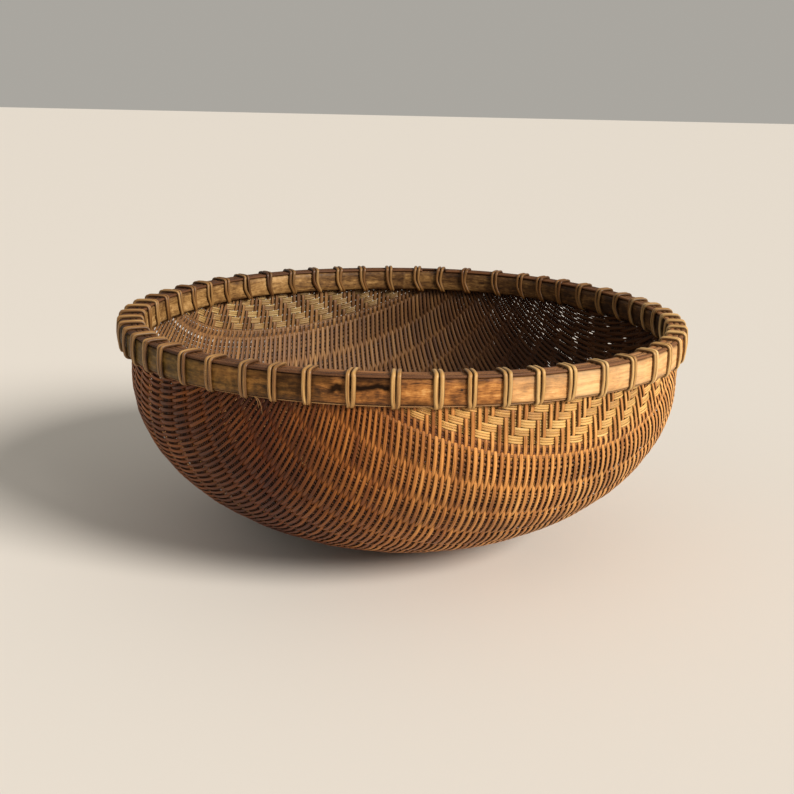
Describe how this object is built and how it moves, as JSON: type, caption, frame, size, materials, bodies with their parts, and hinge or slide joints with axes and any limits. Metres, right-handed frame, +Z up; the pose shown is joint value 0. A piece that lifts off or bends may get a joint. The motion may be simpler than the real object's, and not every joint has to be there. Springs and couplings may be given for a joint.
{
  "type": "winnowing basket",
  "caption": "Round hand-woven winnowing basket: a deep bowl of split cane, bound between two bamboo hoops with cane lashings.",
  "frame": {"origin": "centre of the base, on the face the basket rests on", "axes": "+Z up through the open mouth, -Y towards the front, +X to the right"},
  "size_m": [0.42, 0.4198, 0.172],
  "materials": {
    "weft_splint": "satin",
    "wall_strand": "satin",
    "twill_splint": "satin",
    "outer_hoop_bamboo": "satin",
    "inner_hoop_bamboo": "satin",
    "cap_cane": "satin",
    "lashing_cane": "satin"
  },
  "bodies": {
    "root": {"weft_bundle_01": "weft_splint", "weft_bundle_02": "weft_splint", "weft_bundle_03": "weft_splint", "weft_bundle_04": "weft_splint", "weft_bundle_05": "weft_splint", "weft_bundle_06": "weft_splint", "weft_bundle_07": "weft_splint", "weft_bundle_08": "weft_splint", "weft_bundle_09": "weft_splint", "weft_bundle_10": "weft_splint", "weft_bundle_11": "weft_splint", "weft_bundle_12": "weft_splint", "weft_bundle_13": "weft_splint", "weft_bundle_14": "weft_splint", "weft_bundle_15": "weft_splint", "weft_bundle_16": "weft_splint", "twill_splints_front": "twill_splint", "twill_splints_back": "twill_splint", "strands_left_outer": "wall_strand", "strands_left_upper": "wall_strand", "strands_left_lower": "wall_strand", "strands_middle_left": "wall_strand", "strands_middle_right": "wall_strand", "strands_right_lower": "wall_strand", "strands_right_upper": "wall_strand", "strands_right_outer": "wall_strand", "outer_hoop": "outer_hoop_bamboo", "inner_hoop": "inner_hoop_bamboo", "packing_strip": "twill_splint", "cap_cane_outer": "cap_cane", "cap_cane_middle": "cap_cane", "cap_cane_inner": "cap_cane", "lashings_front_left": "lashing_cane", "lashings_left": "lashing_cane", "lashings_back_left": "lashing_cane", "lashings_back_right": "lashing_cane", "lashings_right": "lashing_cane", "lashings_front_right": "lashing_cane", "loose_lashing_end": "lashing_cane"}
  },
  "joints": []
}
